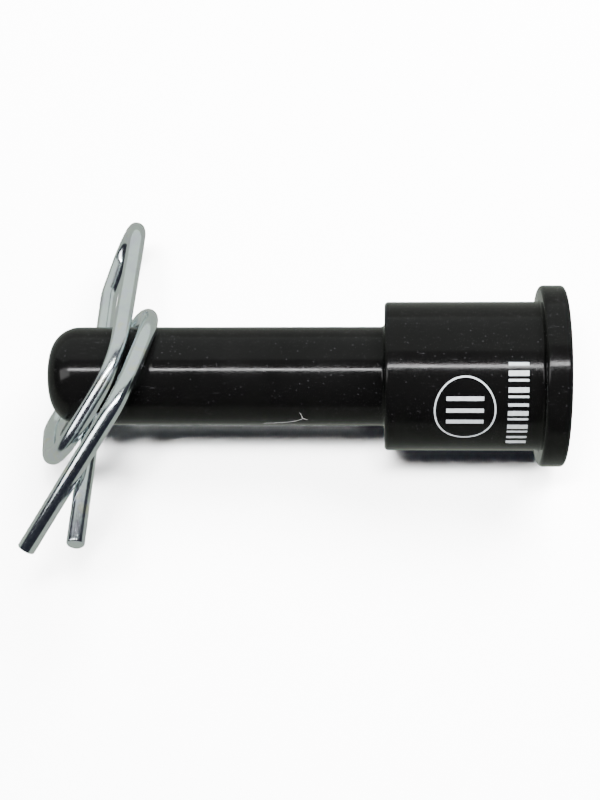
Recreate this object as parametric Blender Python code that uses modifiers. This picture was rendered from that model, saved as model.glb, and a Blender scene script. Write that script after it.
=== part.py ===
"""Hitch pin with a spring clip: a turned pin with a cross hole, and a bent wire that locks it.

The pin's axis is X and the floor is below, at the height of the flange's rim.
The origin is the centre of the flange's plain outer face, and the pin reaches to -X.
"""

import math

import bmesh
import bpy
from mathutils import Vector

MM = 0.001

# Turned pin, from the flange's outer face to the nose
SHAFT_R = 12.70
BARREL_R = 19.05
FLANGE_R = 23.20
FLANGE_T = 6.4
BARREL_L = 39.2
PIN_L = 131.9
NOSE_ROUND = 7.5
SHOULDER_FILLET = 0.9
BARREL_EDGE = 1.0
FLANGE_FILLET = 0.7
FLANGE_EDGE = 1.1
TURN_STEPS = 72

# Cross hole, square to the axis, and turned about it with the clip's straight leg
HOLE_X = -119.8
HOLE_R = 2.75
LEG_TILT = 24.9

# Spring wire. The straight leg runs through the hole, from its free end to the eye
WIRE_R = 2.25
WIRE_SEGMENTS = 4
LEG_FREE = 50.7
LEG_EYE = 27.4
EYE_BEND_R = 7.9
BEND_STEP = math.radians(9)

# After the leg: where the wire's straight runs would meet, in mm from the hole's centre,
# and the radius of the bend there
BENDS = (
    ((5.3, 43.6, -13.6), 8.1),  # end of the eye
    ((9.3, 39.1, 0.6), 8.1),  # eye's return
    ((7.5, -0.3, 17.0), 19.6),  # first pass over the shaft
    ((-9.9, -26.2, 7.6), 12.2),  # near side, beside the nose
    ((-16.2, -8.7, -20.95), 12.0),  # under the shaft, on the floor
    ((-0.1, 10.2, -20.95), 12.0),
    ((16.7, 18.2, 7.9), 15.6),  # far side
    ((10.2, -9.4, 23.2), 15.3),  # second pass over the shaft
)
FREE_LEG_END = (-13.9, -46.6, 13.5)


def clear_scene():
    for item in list(bpy.data.objects):
        bpy.data.objects.remove(item)


def new_collection(name):
    group = bpy.data.collections.new(name)
    bpy.context.scene.collection.children.link(group)
    return group


def finish(name, colour, metallic, roughness):
    material = bpy.data.materials.new(name)
    material.use_nodes = True
    shader = material.node_tree.nodes["Principled BSDF"]
    shader.inputs["Base Color"].default_value = (*colour, 1.0)
    shader.inputs["Metallic"].default_value = metallic
    shader.inputs["Roughness"].default_value = roughness
    return material


def add_mesh(name, group, points, edges=(), faces=()):
    mesh = bpy.data.meshes.new(name)
    mesh.from_pydata([tuple(MM * c for c in p) for p in points], edges, faces)
    item = bpy.data.objects.new(name, mesh)
    group.objects.link(item)
    return item


def arc(centre, radius, start, end, steps):
    """Points in the (x, r) plane round a corner, from one angle to the other, in degrees."""
    found = []
    for i in range(steps + 1):
        a = math.radians(start + (end - start) * i / steps)
        found.append((centre[0] + radius * math.cos(a), centre[1] + radius * math.sin(a)))
    return found


def pin_profile():
    """The pin's outline as (x, r) in mm, from the flange's outer face to the nose."""
    seat = -FLANGE_T
    shoulder = seat - BARREL_L
    nose = -PIN_L
    outline = [(0.0, 0.0)]
    outline += arc((-FLANGE_EDGE, FLANGE_R - FLANGE_EDGE), FLANGE_EDGE, 0, 90, 4)
    outline += arc((seat + FLANGE_EDGE, FLANGE_R - FLANGE_EDGE), FLANGE_EDGE, 90, 180, 4)
    outline += arc((seat - FLANGE_FILLET, BARREL_R + FLANGE_FILLET), FLANGE_FILLET, 0, -90, 3)
    outline += arc((shoulder + BARREL_EDGE, BARREL_R - BARREL_EDGE), BARREL_EDGE, 90, 180, 4)
    outline += arc((shoulder - SHOULDER_FILLET, SHAFT_R + SHOULDER_FILLET), SHOULDER_FILLET, 0, -90, 3)
    outline += arc((nose + NOSE_ROUND, SHAFT_R - NOSE_ROUND), NOSE_ROUND, 90, 180, 10)
    outline.append((nose, 0.0))
    return outline


def turned_pin(group, cutters):
    """A bar turned to three diameters, then drilled through near its nose."""
    outline = pin_profile()
    edges = [(i, i + 1) for i in range(len(outline) - 1)]
    pin = add_mesh("turned_pin", group, [(x, r, 0.0) for x, r in outline], edges)
    turn = pin.modifiers.new("turn", "SCREW")
    turn.axis = "X"
    turn.steps = turn.render_steps = TURN_STEPS
    turn.use_merge_vertices = True
    turn.merge_threshold = 0.0001 * 0.5
    turn.use_smooth_shade = True

    bpy.ops.mesh.primitive_cylinder_add(
        vertices=32, radius=HOLE_R * MM, depth=4 * SHAFT_R * MM, location=(HOLE_X * MM, 0, 0)
    )
    drill = bpy.context.object
    drill.name = "cross_drill"
    drill.rotation_euler = (math.radians(90 - LEG_TILT), 0, 0)
    for old in list(drill.users_collection):
        old.objects.unlink(drill)
    cutters.objects.link(drill)
    drill.hide_render = True
    drill.display_type = "WIRE"
    bore = pin.modifiers.new("cross hole", "BOOLEAN")
    bore.operation = "DIFFERENCE"
    bore.solver = "EXACT"
    bore.object = drill
    pin.data.materials.append(finish("black coated steel", (0.012, 0.012, 0.013), 0.0, 0.28))
    return pin


def bent_route(corners):
    """Centre-line of a wire with straight runs and round bends, as points in mm."""
    points = [Vector(corners[0][0])]
    for before, here, after in zip(corners, corners[1:], corners[2:]):
        at, radius = Vector(here[0]), here[1]
        back = (Vector(before[0]) - at).normalized()
        on = (Vector(after[0]) - at).normalized()
        angle = back.angle(on)
        turn = math.pi - angle
        centre = at + (back + on).normalized() * (radius / math.sin(angle / 2))
        first = at + back * (radius * math.tan(turn / 2)) - centre
        last = at + on * (radius * math.tan(turn / 2)) - centre
        steps = max(2, math.ceil(turn / BEND_STEP))
        for i in range(steps + 1):
            part = i / steps
            mix = first * math.sin((1 - part) * turn) + last * math.sin(part * turn)
            points.append(centre + mix / math.sin(turn))
    points.append(Vector(corners[-1][0]))
    return points


def spring_clip(group):
    """One length of spring wire: leg, eye, a full turn round the shaft, and the free leg."""
    tilt = math.radians(LEG_TILT)
    along = Vector((0.0, math.cos(tilt), -math.sin(tilt)))
    corners = [(-LEG_FREE * along, 0.0), (LEG_EYE * along, EYE_BEND_R)]
    corners += [*BENDS, (FREE_LEG_END, 0.0)]
    route = bent_route(corners)

    line = bpy.data.curves.new("wire route", "CURVE")
    line.dimensions = "3D"
    line.bevel_depth = WIRE_R * MM
    line.bevel_resolution = WIRE_SEGMENTS
    line.use_fill_caps = True
    spline = line.splines.new("POLY")
    spline.points.add(len(route) - 1)
    for point, place in zip(spline.points, route):
        point.co = (*(MM * place), 1.0)
    wire = bpy.data.objects.new("wire route", line)
    group.objects.link(wire)

    graph = bpy.context.evaluated_depsgraph_get()
    mesh = bpy.data.meshes.new_from_object(wire.evaluated_get(graph))
    bpy.data.objects.remove(wire)
    welded = bmesh.new()
    welded.from_mesh(mesh)
    bmesh.ops.remove_doubles(welded, verts=welded.verts, dist=1e-6)
    bmesh.ops.recalc_face_normals(welded, faces=welded.faces)
    for face in welded.faces:
        face.smooth = len(face.verts) == 4
    welded.to_mesh(mesh)
    welded.free()
    mesh.name = "spring_clip"
    clip = bpy.data.objects.new("spring_clip", mesh)
    # The clip turns about its straight leg, so its origin is on that line, at the hole
    clip.location = (HOLE_X * MM, 0.0, 0.0)
    group.objects.link(clip)
    mesh.materials.clear()
    mesh.materials.append(finish("zinc plated spring wire", (0.72, 0.75, 0.76), 1.0, 0.25))
    return clip


clear_scene()
pieces = new_collection("hitch pin")
helpers = new_collection("cutters")
helpers.hide_render = True
turned_pin(pieces, helpers)
spring_clip(pieces)
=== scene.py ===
# %% [markdown]
# # A hitch pin and its spring clip
# A hitch pin joins a trailer's drawbar to a truck's receiver tube. This one is a steel bar turned
# to three diameters and coated black, with a hole drilled across it near the nose. A bent spring
# wire goes through the hole and round the shaft, so the pin can't slide out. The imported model
# gives the sizes and the moving bodies, and this lesson gives the surfaces.

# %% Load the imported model
import math

import bmesh
import bpy
from mathutils import Matrix, Vector


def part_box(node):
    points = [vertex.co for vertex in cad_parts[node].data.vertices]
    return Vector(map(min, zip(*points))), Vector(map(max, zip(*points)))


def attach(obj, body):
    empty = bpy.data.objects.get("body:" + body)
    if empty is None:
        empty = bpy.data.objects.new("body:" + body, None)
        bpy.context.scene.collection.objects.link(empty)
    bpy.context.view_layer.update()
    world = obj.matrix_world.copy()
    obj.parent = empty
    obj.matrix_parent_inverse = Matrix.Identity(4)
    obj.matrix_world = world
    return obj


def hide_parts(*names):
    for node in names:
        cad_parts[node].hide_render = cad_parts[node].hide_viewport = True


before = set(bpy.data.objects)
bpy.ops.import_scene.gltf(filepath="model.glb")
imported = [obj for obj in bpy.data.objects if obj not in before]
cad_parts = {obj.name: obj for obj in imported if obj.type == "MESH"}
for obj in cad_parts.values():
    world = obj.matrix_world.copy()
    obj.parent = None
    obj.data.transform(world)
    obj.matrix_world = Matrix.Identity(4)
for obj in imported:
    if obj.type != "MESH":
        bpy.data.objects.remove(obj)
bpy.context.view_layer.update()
pin_low, pin_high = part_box("turned_pin")
FLOOR_Z = pin_low[2]
MM = 0.001
print("pin runs from", round(pin_low[0] / MM, 1), "to", round(pin_high[0] / MM, 1), "mm")

# %% [markdown]
# Three helpers come first. Colours are written as the hex codes a paint chart uses, so one
# function turns them into the linear values that Blender works with. A second adds a shader or
# geometry node with its settings and links, and a third turns a finished node tree into a plain
# mesh, because a piece has to be an ordinary mesh before it rides on a body.

# %% Helpers for colours, nodes and finished meshes
def colour(hex_code):
    parts = [int(hex_code[i : i + 2], 16) / 255 for i in (0, 2, 4)]
    linear = [c / 12.92 if c <= 0.04045 else ((c + 0.055) / 1.055) ** 2.4 for c in parts]
    return (*linear, 1.0)


def add_node(tree, kind, settings=None, inputs=None):
    """Adds a node. settings are its properties; inputs are values, or sockets to link from."""
    added = tree.nodes.new(kind)
    for name, value in (settings or {}).items():
        setattr(added, name, value)
    for name, value in (inputs or {}).items():
        if isinstance(value, bpy.types.NodeSocket):
            tree.links.new(value, added.inputs[name])
        else:
            added.inputs[name].default_value = value
    return added


def new_shape_tree(name, sizes):
    """A geometry tree with a geometry input, a geometry output and one named input per size."""
    tree = bpy.data.node_groups.new(name, "GeometryNodeTree")
    tree.interface.new_socket("Geometry", in_out="INPUT", socket_type="NodeSocketGeometry")
    tree.interface.new_socket("Geometry", in_out="OUTPUT", socket_type="NodeSocketGeometry")
    for size_name, kind, value in sizes:
        socket = tree.interface.new_socket(size_name, in_out="INPUT", socket_type=kind)
        socket.default_value = value
    return tree


def made_mesh(name, source, tree):
    """Runs a tree on an object and keeps the result as a plain mesh object at the origin."""
    modifier = source.modifiers.new(tree.name, "NODES")
    modifier.node_group = tree
    graph = bpy.context.evaluated_depsgraph_get()
    mesh = bpy.data.meshes.new_from_object(source.evaluated_get(graph))
    bpy.data.objects.remove(source)
    mesh.name = name
    piece = bpy.data.objects.new(name, mesh)
    bpy.context.scene.collection.objects.link(piece)
    print(name, "has", len(mesh.polygons), "faces")
    return piece


def faced_outwards(piece, sharp_degrees):
    """Turns every face outwards, shades it smooth and keeps the edges sharper than an angle."""
    shape = bmesh.new()
    shape.from_mesh(piece.data)
    bmesh.ops.remove_doubles(shape, verts=shape.verts, dist=1e-7)
    bmesh.ops.recalc_face_normals(shape, faces=shape.faces)
    if shape.calc_volume(signed=True) < 0:
        bmesh.ops.reverse_faces(shape, faces=shape.faces)
    for face in shape.faces:
        face.smooth = True
    shape.to_mesh(piece.data)
    shape.free()
    piece.data.set_sharp_from_angle(angle=math.radians(sharp_degrees))
    return piece


# %% [markdown]
# The camera looks almost straight down on the pin, 12 degrees off the vertical, from about
# 40 cm. It stands over the shoulder of the pin and turns a little towards the middle of its
# length, so the far ends lean outwards as they do in any close view.

# %% Camera
LEAN = math.radians(12.0)
TURN = math.radians(3.06)
NOD = math.radians(-0.89)
STAND = (-0.0461, 0.0, 0.3968)  # in metres, before the lean
camera_data = bpy.data.cameras.new("camera")
camera = bpy.data.objects.new("camera", camera_data)
bpy.context.scene.collection.objects.link(camera)
camera_data.sensor_width = 36.0
camera_data.lens = 69.3
camera_data.clip_start = 0.02
over_shoulder = Matrix.Translation(STAND)
camera.matrix_world = (
    Matrix.Rotation(LEAN, 4, "X")
    @ over_shoulder
    @ Matrix.Rotation(TURN, 4, "Y")
    @ Matrix.Rotation(NOD, 4, "X")
)
bpy.context.scene.camera = camera
print("camera stands", round(camera.matrix_world.translation.z - FLOOR_Z, 3), "m over the floor")

# %% [markdown]
# ## Black coating
# The pin is carbon steel with a thin black electrocoat, baked on. It is smooth and glossy, but
# not a mirror: the turned steel below leaves faint rings, and handling leaves fine scuffs and
# specks. The rings on a real bar are too fine to show, so they are drawn wider apart and kept
# very shallow. The index of refraction is set lower than a real paint's, about 1.5, so that
# the coating stays nearly black next to bright plated wire.

# %% Material: black electrocoat on turned steel
COATING_IOR = 1.24


def black_electrocoat():
    material = bpy.data.materials.new("black electrocoat on turned steel")
    material.use_nodes = True
    tree = material.node_tree
    shader = tree.nodes["Principled BSDF"]
    place = add_node(tree, "ShaderNodeTexCoord")
    along = add_node(
        tree, "ShaderNodeMapping", inputs={"Vector": place.outputs["Object"], "Scale": (1.0, 0.12, 0.12)}
    )
    rings = add_node(
        tree,
        "ShaderNodeTexNoise",
        inputs={"Vector": along.outputs["Vector"], "Scale": 2200.0, "Detail": 2.0, "Roughness": 0.6},
    )
    cloud = add_node(
        tree,
        "ShaderNodeTexNoise",
        inputs={"Vector": place.outputs["Object"], "Scale": 90.0, "Detail": 5.0, "Roughness": 0.6},
    )
    stretched = add_node(
        tree,
        "ShaderNodeMapping",
        inputs={"Vector": place.outputs["Object"], "Rotation": (0.3, 0.2, 0.5), "Scale": (0.5, 4.0, 3.0)},
    )
    scuffs = add_node(
        tree,
        "ShaderNodeTexNoise",
        inputs={"Vector": stretched.outputs["Vector"], "Scale": 420.0, "Detail": 6.0, "Roughness": 0.75},
    )
    scuff_mask = add_node(
        tree,
        "ShaderNodeMapRange",
        inputs={"Value": scuffs.outputs["Fac"], "From Min": 0.63, "From Max": 0.76, "To Max": 0.5},
    )
    specks = add_node(
        tree,
        "ShaderNodeTexVoronoi",
        inputs={"Vector": place.outputs["Object"], "Scale": 650.0},
    )
    speck_mask = add_node(
        tree,
        "ShaderNodeMapRange",
        inputs={"Value": specks.outputs["Distance"], "From Min": 0.13, "From Max": 0.05, "To Max": 0.35},
    )
    marks = add_node(
        tree,
        "ShaderNodeMath",
        {"operation": "MAXIMUM", "use_clamp": True},
        {0: scuff_mask.outputs["Result"], 1: speck_mask.outputs["Result"]},
    )
    tone = add_node(
        tree,
        "ShaderNodeMix",
        {"data_type": "RGBA"},
        {0: cloud.outputs["Fac"], 6: colour("020202"), 7: colour("040404")},
    )
    worn = add_node(
        tree,
        "ShaderNodeMix",
        {"data_type": "RGBA"},
        {0: marks.outputs["Value"], 6: tone.outputs[2], 7: colour("262628")},
    )
    gloss = add_node(
        tree,
        "ShaderNodeMapRange",
        inputs={
            "Value": cloud.outputs["Fac"],
            "From Min": 0.3,
            "From Max": 0.7,
            "To Min": 0.1,
            "To Max": 0.17,
        },
    )
    rough = add_node(
        tree,
        "ShaderNodeMath",
        {"operation": "MULTIPLY_ADD", "use_clamp": True},
        {0: marks.outputs["Value"], 1: 0.35, 2: gloss.outputs["Result"]},
    )
    ring_bump = add_node(
        tree,
        "ShaderNodeBump",
        inputs={"Height": rings.outputs["Fac"], "Strength": 0.07, "Distance": 0.0001},
    )
    scuff_bump = add_node(
        tree,
        "ShaderNodeBump",
        {"invert": True},
        {
            "Height": scuffs.outputs["Fac"],
            "Strength": 0.04,
            "Distance": 0.0002,
            "Normal": ring_bump.outputs["Normal"],
        },
    )
    tree.links.new(worn.outputs[2], shader.inputs["Base Color"])
    tree.links.new(rough.outputs["Value"], shader.inputs["Roughness"])
    tree.links.new(scuff_bump.outputs["Normal"], shader.inputs["Normal"])
    shader.inputs["IOR"].default_value = COATING_IOR
    return material


coated_steel = black_electrocoat()

# %% [markdown]
# ## Zinc plating
# The wire is spring steel, bright zinc plated and passivated with a clear blue dip. The bare
# plating is a little blue, with faint yellow and violet patches where the dip is thicker. It
# shines, but drawing the wire leaves lines along it and the plating is slightly uneven.

# %% Material: bright zinc plating on drawn wire
def zinc_plating():
    material = bpy.data.materials.new("clear passivated zinc plating on drawn wire")
    material.use_nodes = True
    tree = material.node_tree
    shader = tree.nodes["Principled BSDF"]
    place = add_node(tree, "ShaderNodeTexCoord")
    patches = add_node(
        tree,
        "ShaderNodeTexNoise",
        inputs={"Vector": place.outputs["Object"], "Scale": 120.0, "Detail": 3.0, "Roughness": 0.55},
    )
    tints = add_node(tree, "ShaderNodeValToRGB", inputs={"Fac": patches.outputs["Fac"]})
    ramp = tints.color_ramp
    ramp.elements[0].position, ramp.elements[0].color = 0.34, colour("DDE0EA")
    ramp.elements[1].position, ramp.elements[1].color = 0.66, colour("EAECE0")
    for position, hex_code in ((0.44, "E1EAEC"), (0.52, "E6EEEE"), (0.59, "E4E8F2")):
        stop = ramp.elements.new(position)
        stop.color = colour(hex_code)
    grain = add_node(
        tree,
        "ShaderNodeTexNoise",
        inputs={"Vector": place.outputs["Object"], "Scale": 1400.0, "Detail": 4.0, "Roughness": 0.65},
    )
    rough = add_node(
        tree,
        "ShaderNodeMapRange",
        inputs={
            "Value": grain.outputs["Fac"],
            "From Min": 0.3,
            "From Max": 0.75,
            "To Min": 0.13,
            "To Max": 0.26,
        },
    )
    bump = add_node(
        tree,
        "ShaderNodeBump",
        inputs={"Height": grain.outputs["Fac"], "Strength": 0.12, "Distance": 0.00005},
    )
    tree.links.new(tints.outputs["Color"], shader.inputs["Base Color"])
    tree.links.new(rough.outputs["Result"], shader.inputs["Roughness"])
    tree.links.new(bump.outputs["Normal"], shader.inputs["Normal"])
    shader.inputs["Metallic"].default_value = 1.0
    return material


zinc = zinc_plating()

# %% [markdown]
# ## The turned pin
# A lathe cuts a shape whose rule is simple: one outline, turned round an axis. The tree below
# does the same. It lays out a grid with one row for each point of the outline, reads the
# outline at that row, and turns it by the column. A cylinder then drills the cross hole. The
# outline has the fillets that a round-nosed tool leaves in the corners, and broken edges.

# %% The pin's outline, in mm from the flange's outer face
SHAFT_R, BARREL_R, FLANGE_R = 12.70, 19.05, 23.20
SEAT_X, SHOULDER_X, NOSE_X = -6.4, -45.6, -131.9
HOLE_X, HOLE_R, LEG_TILT = -119.8, 2.75, 24.9
NOSE_ROUND = 7.5


def corner(x, r, radius, start, end, steps):
    angles = [math.radians(start + (end - start) * i / steps) for i in range(steps + 1)]
    return [(x + radius * math.cos(a), r + radius * math.sin(a)) for a in angles]


def run(x_from, x_to, r, step):
    """Points along a straight stretch, close together so that the drilled hole shades well."""
    count = max(1, round(abs(x_to - x_from) / step))
    return [(x_from + (x_to - x_from) * i / count, r) for i in range(1, count)]


outline = [(0.0, 0.0)]
outline += [(0.0, r) for r in (7.0, 14.0, 20.0)]
outline += corner(-1.1, FLANGE_R - 1.1, 1.1, 0, 90, 8)
outline += corner(SEAT_X + 1.1, FLANGE_R - 1.1, 1.1, 90, 180, 8)
outline += corner(SEAT_X - 0.7, BARREL_R + 0.7, 0.7, 0, -90, 7)
outline += run(SEAT_X - 0.7, SHOULDER_X + 1.0, BARREL_R, 6.0)
outline += corner(SHOULDER_X + 1.0, BARREL_R - 1.0, 1.0, 90, 180, 8)
outline += corner(SHOULDER_X - 0.9, SHAFT_R + 0.9, 0.9, 0, -90, 7)
outline += run(SHOULDER_X - 0.9, HOLE_X + 4.5, SHAFT_R, 6.0)
outline += run(HOLE_X + 4.5, NOSE_X + NOSE_ROUND, SHAFT_R, 0.8)
outline += corner(NOSE_X + NOSE_ROUND, SHAFT_R - NOSE_ROUND, NOSE_ROUND, 90, 180, 20)
outline += [(NOSE_X, 2.6), (NOSE_X, 0.0)]
print("the outline has", len(outline), "points")

# %% The lathe as a geometry tree
LATHE_STEPS = 160
SHARP_ANGLE_PIN, SHARP_ANGLE_WIRE = 32, 40  # degrees; blunter edges are shaded smooth


def lathe_tree():
    tree = new_shape_tree(
        "lathe and drill",
        (
            ("Steps", "NodeSocketInt", LATHE_STEPS),
            ("Hole Radius", "NodeSocketFloat", HOLE_R * MM),
            ("Hole Distance", "NodeSocketFloat", HOLE_X * MM),
            ("Hole Tilt", "NodeSocketFloat", math.radians(90 - LEG_TILT)),
        ),
    )
    start = add_node(tree, "NodeGroupInput")
    rows = add_node(
        tree, "GeometryNodeAttributeDomainSize", {"component": "MESH"}, {0: start.outputs["Geometry"]}
    )
    steps = start.outputs["Steps"]
    last_row = add_node(
        tree, "ShaderNodeMath", {"operation": "SUBTRACT"}, {0: rows.outputs["Point Count"], 1: 1.0}
    )
    columns = add_node(tree, "ShaderNodeMath", {"operation": "ADD"}, {0: steps, 1: 1.0})
    sheet = add_node(
        tree,
        "GeometryNodeMeshGrid",
        inputs={
            "Size X": last_row.outputs[0],
            "Size Y": steps,
            "Vertices X": rows.outputs["Point Count"],
            "Vertices Y": columns.outputs[0],
        },
    )
    here = add_node(tree, "GeometryNodeInputPosition")
    split = add_node(tree, "ShaderNodeSeparateXYZ", inputs={0: here.outputs[0]})
    half_rows = add_node(
        tree,
        "ShaderNodeMath",
        {"operation": "MULTIPLY_ADD"},
        {0: last_row.outputs[0], 1: 0.5, 2: split.outputs["X"]},
    )
    row = add_node(tree, "ShaderNodeMath", {"operation": "ROUND"}, {0: half_rows.outputs[0]})
    part_turn = add_node(
        tree, "ShaderNodeMath", {"operation": "DIVIDE"}, {0: split.outputs["Y"], 1: steps}
    )
    angle = add_node(
        tree, "ShaderNodeMath", {"operation": "MULTIPLY"}, {0: part_turn.outputs[0], 1: 2 * math.pi}
    )
    outline_place = add_node(tree, "GeometryNodeInputPosition")
    point = add_node(
        tree,
        "GeometryNodeSampleIndex",
        {"data_type": "FLOAT_VECTOR", "domain": "POINT"},
        {"Geometry": start.outputs["Geometry"], "Value": outline_place.outputs[0], "Index": row.outputs[0]},
    )
    flat = add_node(tree, "ShaderNodeSeparateXYZ", inputs={0: point.outputs[0]})
    cosine = add_node(tree, "ShaderNodeMath", {"operation": "COSINE"}, {0: angle.outputs[0]})
    sine = add_node(tree, "ShaderNodeMath", {"operation": "SINE"}, {0: angle.outputs[0]})
    y = add_node(
        tree, "ShaderNodeMath", {"operation": "MULTIPLY"}, {0: flat.outputs["Y"], 1: cosine.outputs[0]}
    )
    z = add_node(
        tree, "ShaderNodeMath", {"operation": "MULTIPLY"}, {0: flat.outputs["Y"], 1: sine.outputs[0]}
    )
    turned_place = add_node(
        tree, "ShaderNodeCombineXYZ", inputs={"X": flat.outputs["X"], "Y": y.outputs[0], "Z": z.outputs[0]}
    )
    turned = add_node(
        tree,
        "GeometryNodeSetPosition",
        inputs={"Geometry": sheet.outputs["Mesh"], "Position": turned_place.outputs[0]},
    )
    closed = add_node(
        tree, "GeometryNodeMergeByDistance", inputs={"Geometry": turned.outputs[0], "Distance": 2e-6}
    )
    drill = add_node(
        tree,
        "GeometryNodeMeshCylinder",
        inputs={"Vertices": 64, "Radius": start.outputs["Hole Radius"], "Depth": 4 * SHAFT_R * MM},
    )
    drill_place = add_node(tree, "ShaderNodeCombineXYZ", inputs={"X": start.outputs["Hole Distance"]})
    drill_turn = add_node(tree, "ShaderNodeCombineXYZ", inputs={"X": start.outputs["Hole Tilt"]})
    aimed = add_node(
        tree,
        "GeometryNodeTransform",
        inputs={
            "Geometry": drill.outputs["Mesh"],
            "Translation": drill_place.outputs[0],
            "Rotation": drill_turn.outputs[0],
        },
    )
    drilled = add_node(
        tree,
        "GeometryNodeMeshBoolean",
        {"operation": "DIFFERENCE", "solver": "EXACT"},
        {"Mesh 1": closed.outputs["Geometry"]},
    )
    tree.links.new(aimed.outputs["Geometry"], drilled.inputs["Mesh 2"])
    whole = add_node(tree, "GeometryNodeRealizeInstances", inputs={"Geometry": drilled.outputs["Mesh"]})
    coated = add_node(
        tree,
        "GeometryNodeSetMaterial",
        inputs={"Geometry": whole.outputs["Geometry"], "Material": coated_steel},
    )
    add_node(tree, "NodeGroupOutput", inputs={"Geometry": coated.outputs["Geometry"]})
    return tree


# %% Turn and drill the pin
line = bpy.data.meshes.new("outline")
line.from_pydata(
    [(x * MM, r * MM, 0.0) for x, r in outline], [(i, i + 1) for i in range(len(outline) - 1)], []
)
line_object = bpy.data.objects.new("outline", line)
bpy.context.scene.collection.objects.link(line_object)
pin = faced_outwards(made_mesh("coated_pin", line_object, lathe_tree()), SHARP_ANGLE_PIN)
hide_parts("turned_pin")
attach(pin, "pin")

# %% [markdown]
# ## The spring clip
# A wire former bends the clip from one length of wire: a straight leg, a narrow eye to pull on,
# a full turn that snaps round the shaft, and a free leg that crosses the first. Its centre-line
# is straight runs joined by round bends, so it is written as the points where the runs would
# meet and a radius for each. A tree then sweeps a circle along it.

# %% The clip's bends, in mm from the middle of the cross hole
tilt = math.radians(LEG_TILT)
along_leg = Vector((0.0, math.cos(tilt), -math.sin(tilt)))
clip_bends = (
    (-50.7 * along_leg, 0.0),  # the straight leg's free end
    (27.4 * along_leg, 7.9),
    ((5.3, 43.6, -13.6), 8.1),  # end of the eye
    ((9.3, 39.1, 0.6), 8.1),
    ((7.5, -0.3, 17.0), 19.6),  # first pass over the shaft
    ((-9.9, -26.2, 7.6), 12.2),
    ((-16.2, -8.7, -20.95), 12.0),  # under the shaft, on the floor
    ((-0.1, 10.2, -20.95), 12.0),
    ((16.7, 18.2, 7.9), 15.6),
    ((10.2, -9.4, 23.2), 15.3),  # second pass over the shaft
    ((-13.9, -46.6, 13.5), 0.0),  # the free leg's end
)
WIRE_R = 2.25
WIRE_SIDES = 32
BEND_STEP = math.radians(3)


def bent_route(corners, bend_step):
    points = [Vector(corners[0][0])]
    for before, here, after in zip(corners, corners[1:], corners[2:]):
        at, radius = Vector(here[0]), here[1]
        back = (Vector(before[0]) - at).normalized()
        on = (Vector(after[0]) - at).normalized()
        angle = back.angle(on)
        turn = math.pi - angle
        centre = at + (back + on).normalized() * (radius / math.sin(angle / 2))
        first = at + back * (radius * math.tan(turn / 2)) - centre
        last = at + on * (radius * math.tan(turn / 2)) - centre
        steps = max(2, math.ceil(turn / bend_step))
        for i in range(steps + 1):
            part = i / steps
            mix = first * math.sin((1 - part) * turn) + last * math.sin(part * turn)
            points.append(centre + mix / math.sin(turn))
    points.append(Vector(corners[-1][0]))
    return points


def with_end_points(points, distances):
    """Adds points close to each end, where the cut wire's edge is broken."""
    first = (points[1] - points[0]).normalized()
    last = (points[-2] - points[-1]).normalized()
    head = [points[0] + first * d for d in distances]
    tail = [points[-1] + last * d for d in reversed(distances)]
    return [points[0], *head, *points[1:-1], *tail, points[-1]]


END_BREAK = ((0.0, 0.84), (0.12, 0.93), (0.35, 1.0))  # mm from the end, share of the full radius
hole = Vector((HOLE_X, 0.0, 0.0))
route = [p + hole for p in bent_route(clip_bends, BEND_STEP)]
route = with_end_points(route, [d for d, _ in END_BREAK[1:]])
wire_length = sum((b - a).length for a, b in zip(route, route[1:]))
print("the wire is", round(wire_length), "mm long")

# %% Sweep the wire along its route
def wire_tree():
    tree = new_shape_tree("swept wire", (("Wire Radius", "NodeSocketFloat", WIRE_R * MM),))
    start = add_node(tree, "NodeGroupInput")
    ring = add_node(
        tree,
        "GeometryNodeCurvePrimitiveCircle",
        inputs={"Resolution": WIRE_SIDES, "Radius": start.outputs["Wire Radius"]},
    )
    swept = add_node(
        tree,
        "GeometryNodeCurveToMesh",
        inputs={
            "Curve": start.outputs["Geometry"],
            "Profile Curve": ring.outputs["Curve"],
            "Fill Caps": True,
        },
    )
    if "Scale" in swept.inputs:
        thickness = add_node(tree, "GeometryNodeInputRadius")
        tree.links.new(thickness.outputs[0], swept.inputs["Scale"])
    whole = add_node(tree, "GeometryNodeRealizeInstances", inputs={"Geometry": swept.outputs["Mesh"]})
    plated = add_node(
        tree, "GeometryNodeSetMaterial", inputs={"Geometry": whole.outputs["Geometry"], "Material": zinc}
    )
    add_node(tree, "NodeGroupOutput", inputs={"Geometry": plated.outputs["Geometry"]})
    return tree


path = bpy.data.curves.new("wire route", "CURVE")
path.dimensions = "3D"
spline = path.splines.new("POLY")
spline.points.add(len(route) - 1)
for point, place in zip(spline.points, route):
    point.co = (*(MM * place), 1.0)
for i, (_, width) in enumerate(END_BREAK):
    spline.points[i].radius = width
    spline.points[-1 - i].radius = width
path_object = bpy.data.objects.new("wire route", path)
bpy.context.scene.collection.objects.link(path_object)
clip = faced_outwards(made_mesh("spring_wire_clip", path_object, wire_tree()), SHARP_ANGLE_WIRE)
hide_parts("spring_clip")
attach(clip, "clip")

# %% [markdown]
# ## Printed marks
# The barrel carries pad-printed marks in pale grey ink. Here they are plain shapes that stand
# for no maker: a ring round three bars, and a column of bars. The ink is thin, so each
# shape is drawn flat, wrapped round the barrel, and given a thickness of a few hundredths of a
# millimetre.

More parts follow.
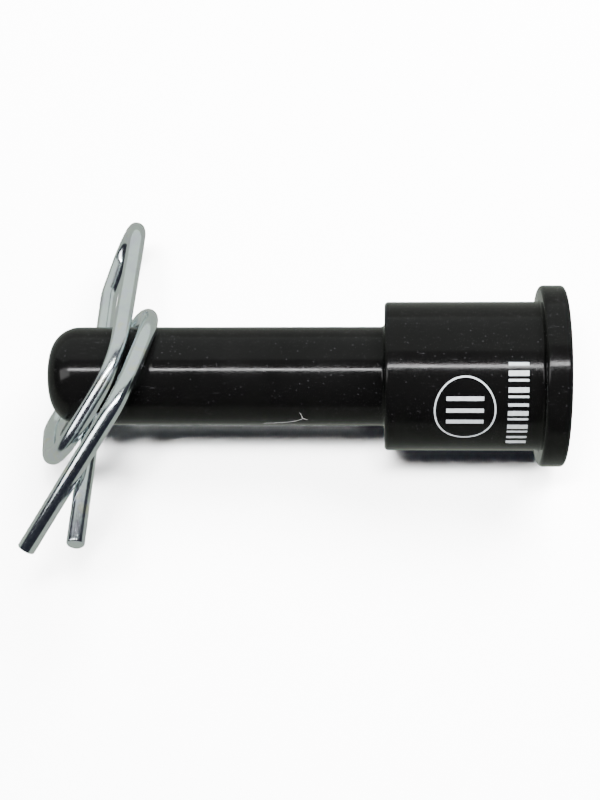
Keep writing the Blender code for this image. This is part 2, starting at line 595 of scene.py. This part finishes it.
# %% Material: pale pad-printed ink
def pad_print_ink():
    material = bpy.data.materials.new("pale grey pad-printing ink")
    material.use_nodes = True
    tree = material.node_tree
    shader = tree.nodes["Principled BSDF"]
    place = add_node(tree, "ShaderNodeTexCoord")
    thin = add_node(
        tree,
        "ShaderNodeTexNoise",
        inputs={"Vector": place.outputs["Object"], "Scale": 900.0, "Detail": 3.0},
    )
    tone = add_node(
        tree,
        "ShaderNodeMix",
        {"data_type": "RGBA"},
        {0: thin.outputs["Fac"], 6: colour("5A5E60"), 7: colour("84888A")},
    )
    tree.links.new(tone.outputs[2], shader.inputs["Base Color"])
    shader.inputs["Roughness"].default_value = 0.5
    return material


ink = pad_print_ink()


# %% Wrap flat shapes round the barrel
def wrapped(patches, radius, lift, across=0.35):
    """Builds thin ink from flat quads. A patch is four corners (x, arc) in mm, arc from the top."""
    shape = bmesh.new()
    for patch in patches:
        a, b, c, d = [Vector(p) for p in patch]
        columns = max(1, math.ceil(max((b - a).length, (c - d).length) / across))
        rows = max(1, math.ceil(max((d - a).length, (c - b).length) / across))
        levels = []
        for height in (0.0, lift):
            level = []
            for j in range(rows + 1):
                for i in range(columns + 1):
                    u, v = i / columns, j / rows
                    flat = (a * (1 - u) + b * u) * (1 - v) + (d * (1 - u) + c * u) * v
                    angle = flat.y / radius
                    r = radius + height
                    level.append(
                        shape.verts.new((flat.x * MM, -r * math.sin(angle) * MM, r * math.cos(angle) * MM))
                    )
            levels.append(level)
        low, high = levels
        width = columns + 1
        for j in range(rows):
            for i in range(columns):
                k = j * width + i
                quad = (k, k + 1, k + 1 + width, k + width)
                shape.faces.new([high[q] for q in quad])
                shape.faces.new([low[q] for q in reversed(quad)])
        rim = list(range(width))
        rim += [j * width + columns for j in range(1, rows + 1)]
        rim += [rows * width + i for i in range(columns - 1, -1, -1)]
        rim += [j * width for j in range(rows - 1, 0, -1)]
        for p, q in zip(rim, rim[1:] + rim[:1]):
            shape.faces.new((low[p], low[q], high[q], high[p]))
    bmesh.ops.remove_doubles(shape, verts=shape.verts, dist=1e-8)
    return shape


def ring_patches(centre, inner, outer, stretch, steps):
    found = []
    for i in range(steps):
        p, q = (2 * math.pi * k / steps for k in (i, i + 1))
        found.append(
            [
                (centre[0] + r * math.cos(t), centre[1] + stretch * r * math.sin(t))
                for r, t in ((inner, p), (outer, p), (outer, q), (inner, q))
            ]
        )
    return found


def bar(x0, x1, y0, y1):
    return [(x0, y0), (x1, y0), (x1, y1), (x0, y1)]


def piece_from(shape, name, material):
    mesh = bpy.data.meshes.new(name)
    bmesh.ops.recalc_face_normals(shape, faces=shape.faces)
    shape.to_mesh(mesh)
    shape.free()
    made = bpy.data.objects.new(name, mesh)
    bpy.context.scene.collection.objects.link(made)
    mesh.materials.append(material)
    print(name, "has", len(mesh.polygons), "faces")
    return made


INK_LIFT = 0.03
RING_CENTRE = (-25.8, 12.8)
RING_INNER, RING_OUTER, RING_STRETCH, RING_STEPS = 7.25, 7.65, 1.17, 72
RING_BAR_HALF, RING_BAR_HALF_WIDTH, RING_BAR_PITCH = 4.6, 0.55, 3.2
mark = ring_patches(RING_CENTRE, RING_INNER, RING_OUTER, RING_STRETCH, RING_STEPS)
mark += [
    bar(
        RING_CENTRE[0] - RING_BAR_HALF,
        RING_CENTRE[0] + RING_BAR_HALF,
        RING_CENTRE[1] + y - RING_BAR_HALF_WIDTH,
        RING_CENTRE[1] + y + RING_BAR_HALF_WIDTH,
    )
    for y in (-RING_BAR_PITCH, 0.0, RING_BAR_PITCH)
]
ring_mark = piece_from(wrapped(mark, BARREL_R, INK_LIFT), "printed_ring", ink)

BAR_X = (-15.3, -10.3)
BAR_WIDTHS = (0.8, 1.3, 0.6, 1.3, 0.6, 0.8, 1.3, 0.6, 1.3, 0.6, 0.8, 1.3)
FIRST_BAR, BAR_PITCH = 0.6, 2.05
BAR_ARCS = [
    (FIRST_BAR + BAR_PITCH * i, FIRST_BAR + BAR_PITCH * i + width)
    for i, width in enumerate(BAR_WIDTHS)
]
bars = [bar(*BAR_X, low, high) for low, high in BAR_ARCS]
bar_marks = piece_from(wrapped(bars, BARREL_R, INK_LIFT), "printed_bars", ink)
for printed in (ring_mark, bar_marks):
    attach(printed, "pin")

# %% [markdown]
# One scratch has gone through the coating to bright steel, low on the near side of the shaft.
# It is a hair of bare metal with a short hook at its end.

# %% Material and shape of the scratch
def bare_steel():
    material = bpy.data.materials.new("bare scratched steel")
    material.use_nodes = True
    tree = material.node_tree
    shader = tree.nodes["Principled BSDF"]
    place = add_node(tree, "ShaderNodeTexCoord")
    uneven = add_node(
        tree, "ShaderNodeTexNoise", inputs={"Vector": place.outputs["Object"], "Scale": 1500.0, "Detail": 2.0}
    )
    tone = add_node(
        tree,
        "ShaderNodeMix",
        {"data_type": "RGBA"},
        {0: uneven.outputs["Fac"], 6: colour("6E6E6E"), 7: colour("C0C0C0")},
    )
    tree.links.new(tone.outputs[2], shader.inputs["Base Color"])
    shader.inputs["Metallic"].default_value = 0.4
    shader.inputs["Roughness"].default_value = 0.5
    return material


def stroke(points, widths):
    """A ribbon along points (x, arc), as one patch for each pair."""
    found = []
    for (p, w), (q, v) in zip(zip(points, widths), zip(points[1:], widths[1:])):
        a, b = Vector(p), Vector(q)
        side = Vector((-(b - a).y, (b - a).x)).normalized()
        found.append([a - side * w / 2, b - side * v / 2, b + side * v / 2, a + side * w / 2])
    return found


SCRATCH_LIFT = 0.015
scratch_lines = stroke(
    ((-76.4, 18.5), (-73.5, 18.3), (-70.5, 17.7), (-68.2, 17.0), (-66.4, 15.7)),
    (0.05, 0.16, 0.12, 0.2, 0.12),
)
scratch_lines += stroke(
    ((-66.9, 13.0), (-66.5, 14.2), (-66.3, 15.4), (-65.0, 16.2)),
    (0.05, 0.16, 0.22, 0.06),
)
scratch = piece_from(wrapped(scratch_lines, SHAFT_R, SCRATCH_LIFT), "coating_scratch", bare_steel())
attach(scratch, "pin")

# %% [markdown]
# ## Floor and light
# The pin lies on a pale table. This is a studio picture, so some lamps only light surfaces and
# others only show in reflections. A softbox and a bounced light make the soft shadows. A long
# narrow lamp runs the same way as the pin, so the coating shows it as one thin streak. A pale
# wall and a side window show only in reflections, and give the wire its grey-green side and
# its bright line. The table itself is left out of reflections, where a grey stands in for it.

# %% Floor
def pale_table():
    material = bpy.data.materials.new("matt white laminate")
    material.use_nodes = True
    tree = material.node_tree
    shader = tree.nodes["Principled BSDF"]
    place = add_node(tree, "ShaderNodeTexCoord")
    faint = add_node(
        tree, "ShaderNodeTexNoise", inputs={"Vector": place.outputs["Object"], "Scale": 6.0, "Detail": 2.0}
    )
    tone = add_node(
        tree,
        "ShaderNodeMix",
        {"data_type": "RGBA"},
        {0: faint.outputs["Fac"], 6: colour("F7F7F7"), 7: colour("FCFCFC")},
    )
    tree.links.new(tone.outputs[2], shader.inputs["Base Color"])
    shader.inputs["Roughness"].default_value = 0.7
    return material


floor_mesh = bpy.data.meshes.new("floor")
TABLE_HALF = 1.5
TABLE_CORNERS = [(sx * TABLE_HALF, sy * TABLE_HALF) for sx, sy in ((-1, -1), (1, -1), (1, 1), (-1, 1))]
floor_mesh.from_pydata(
    [(x, y, FLOOR_Z) for x, y in TABLE_CORNERS],
    [],
    [(0, 1, 2, 3)],
)
floor_mesh.materials.append(pale_table())
floor = bpy.data.objects.new("floor", floor_mesh)
bpy.context.scene.collection.objects.link(floor)
floor.visible_glossy = False  # reflections see the grey lower half of the room instead

# %% Lights and room
def area_light(name, place, aim, size, power):
    data = bpy.data.lights.new(name, "AREA")
    data.shape = "RECTANGLE"
    data.size, data.size_y = size
    data.energy = power
    lamp = bpy.data.objects.new(name, data)
    bpy.context.scene.collection.objects.link(lamp)
    lamp.location = place
    lamp.rotation_euler = (Vector(place) - Vector(aim)).to_track_quat("Z", "Y").to_euler()
    return lamp


MIDDLE = (-0.066, 0.0, 0.0)
area_light("overhead strip", (-0.066, 0.05, 0.95), MIDDLE, (0.9, 0.03), 13.0)
softbox = area_light("softbox", (-0.1, 0.09, 1.1), MIDDLE, (0.5, 0.16), 85.0)
bounce = area_light("bounced light", (0.3, 0.55, 0.75), MIDDLE, (0.7, 0.5), 95.0)
for lamp in (softbox, bounce):
    lamp.visible_glossy = False
pale_wall = area_light("pale wall", (-0.1, 1.2, 1.2), (-0.1, 0.0, 1.2), (5.0, 2.4), 44.0)
pale_wall.data.color = colour("E4EEE6")[:3]
window = area_light("side window", (-0.9, -0.08, 1.0), MIDDLE, (0.45, 0.9), 9.0)
for lamp in (pale_wall, window):
    lamp.visible_diffuse = False

room = bpy.data.worlds.new("dim room over a grey table")
bpy.context.scene.world = room
room.use_nodes = True
room_tree = room.node_tree
background = room_tree.nodes["Background"]
direction = add_node(room_tree, "ShaderNodeTexCoord")
height = add_node(room_tree, "ShaderNodeSeparateXYZ", inputs={0: direction.outputs["Generated"]})
room_ramp = add_node(room_tree, "ShaderNodeValToRGB", inputs={"Fac": height.outputs["Z"]})
below, above = room_ramp.color_ramp.elements
below.position, below.color = 0.0, colour("BCC4BA")
above.position, above.color = 0.06, colour("22242F")
room_tree.links.new(room_ramp.outputs["Color"], background.inputs["Color"])
background.inputs["Strength"].default_value = 1.0
